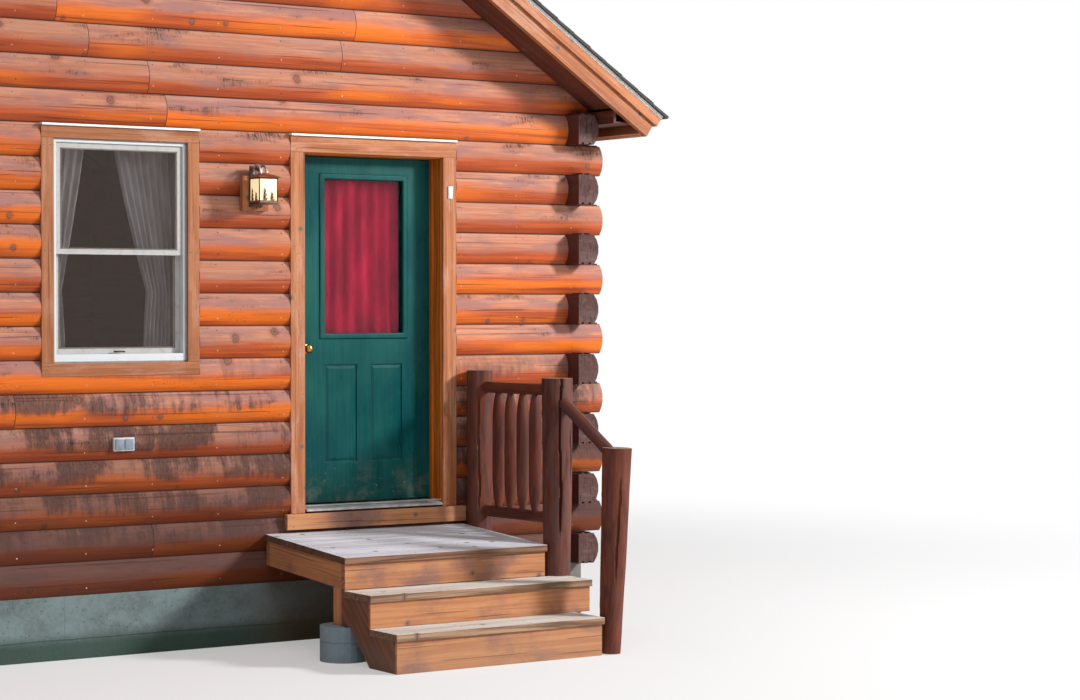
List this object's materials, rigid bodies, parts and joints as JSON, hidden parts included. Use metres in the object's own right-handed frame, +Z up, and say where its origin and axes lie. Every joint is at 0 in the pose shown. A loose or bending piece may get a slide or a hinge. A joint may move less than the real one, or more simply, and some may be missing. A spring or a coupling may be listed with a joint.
{
  "type": "log cabin",
  "caption": "Milled-log cabin on a concrete foundation, with a gable front, a half-glazed hinged door, sash windows, and a small stepped porch with a peeled-log railing.",
  "frame": {"origin": "on the ground, in the middle of the whole object's footprint", "axes": "+X right along the gable front, +Y from the front into the building, +Z up"},
  "size_m": [7.0716, 9.196, 5.4832],
  "materials": {
    "log_wood": "satin stained timber",
    "trim_wood": "satin stained timber",
    "board_wood": "sawn boards",
    "frame_wood": "sawn timber",
    "floor_wood": "sawn boards",
    "deck_wood": "weathered stained boards",
    "peeled_log": "peeled and weathered poles",
    "shingle": "mineral-faced roofing",
    "concrete": "board-formed concrete",
    "white_metal": "satin",
    "bronze_metal": "satin",
    "aluminium": "mill finish",
    "brass": "polished",
    "white_vinyl": "matt",
    "white_plastic": "satin",
    "door_paint": "satin",
    "glass": "clear",
    "curtain_red": "woven",
    "curtain_white": "sheer"
  },
  "bodies": {
    "cabin": {"front_wall": "log_wood", "back_wall": "log_wood", "left_wall": "log_wood", "right_wall": "log_wood", "foundation": "concrete", "floor": "floor_wood", "roof_frame": "frame_wood", "roof_deck": "board_wood", "roof_shingles": "shingle", "ridge_cap": "shingle", "fascia_boards": "trim_wood", "rake_trim": "trim_wood", "drip_edges": "white_metal", "soffits": "board_wood", "window_casings": "trim_wood", "drip_caps": "white_metal", "window_frames": "white_vinyl", "window_sashes": "white_vinyl", "window_glass": "glass", "window_curtains": "curtain_white", "door_casings": "trim_wood", "door_jambs": "trim_wood", "door_threshold": "aluminium", "door_sill_board": "trim_wood", "hinge_jamb_leaves": "brass", "porch_deck_boards": "deck_wood", "porch_frame": "deck_wood", "porch_posts": "deck_wood", "porch_piers": "concrete", "stair_treads": "deck_wood", "stair_risers": "deck_wood", "stair_stringers": "deck_wood", "rail_posts": "peeled_log", "rails": "peeled_log", "balusters": "peeled_log", "lamp_block": "trim_wood", "lamp_body": "bronze_metal", "lamp_glass": "glass", "socket_cover": "white_plastic"},
    "door": {"door_leaf": "door_paint", "door_lite_frame": "door_paint", "door_glass": "glass", "door_curtain": "curtain_red", "door_knob": "brass", "hinge_door_leaves": "brass"}
  },
  "joints": [
    {"name": "door_hinge", "type": "hinge", "parent": "cabin", "child": "door", "pos_m": [2.0935, -2.879, 1.802], "axis": [0, 0, -1], "range_deg": [0, 110]}
  ]
}
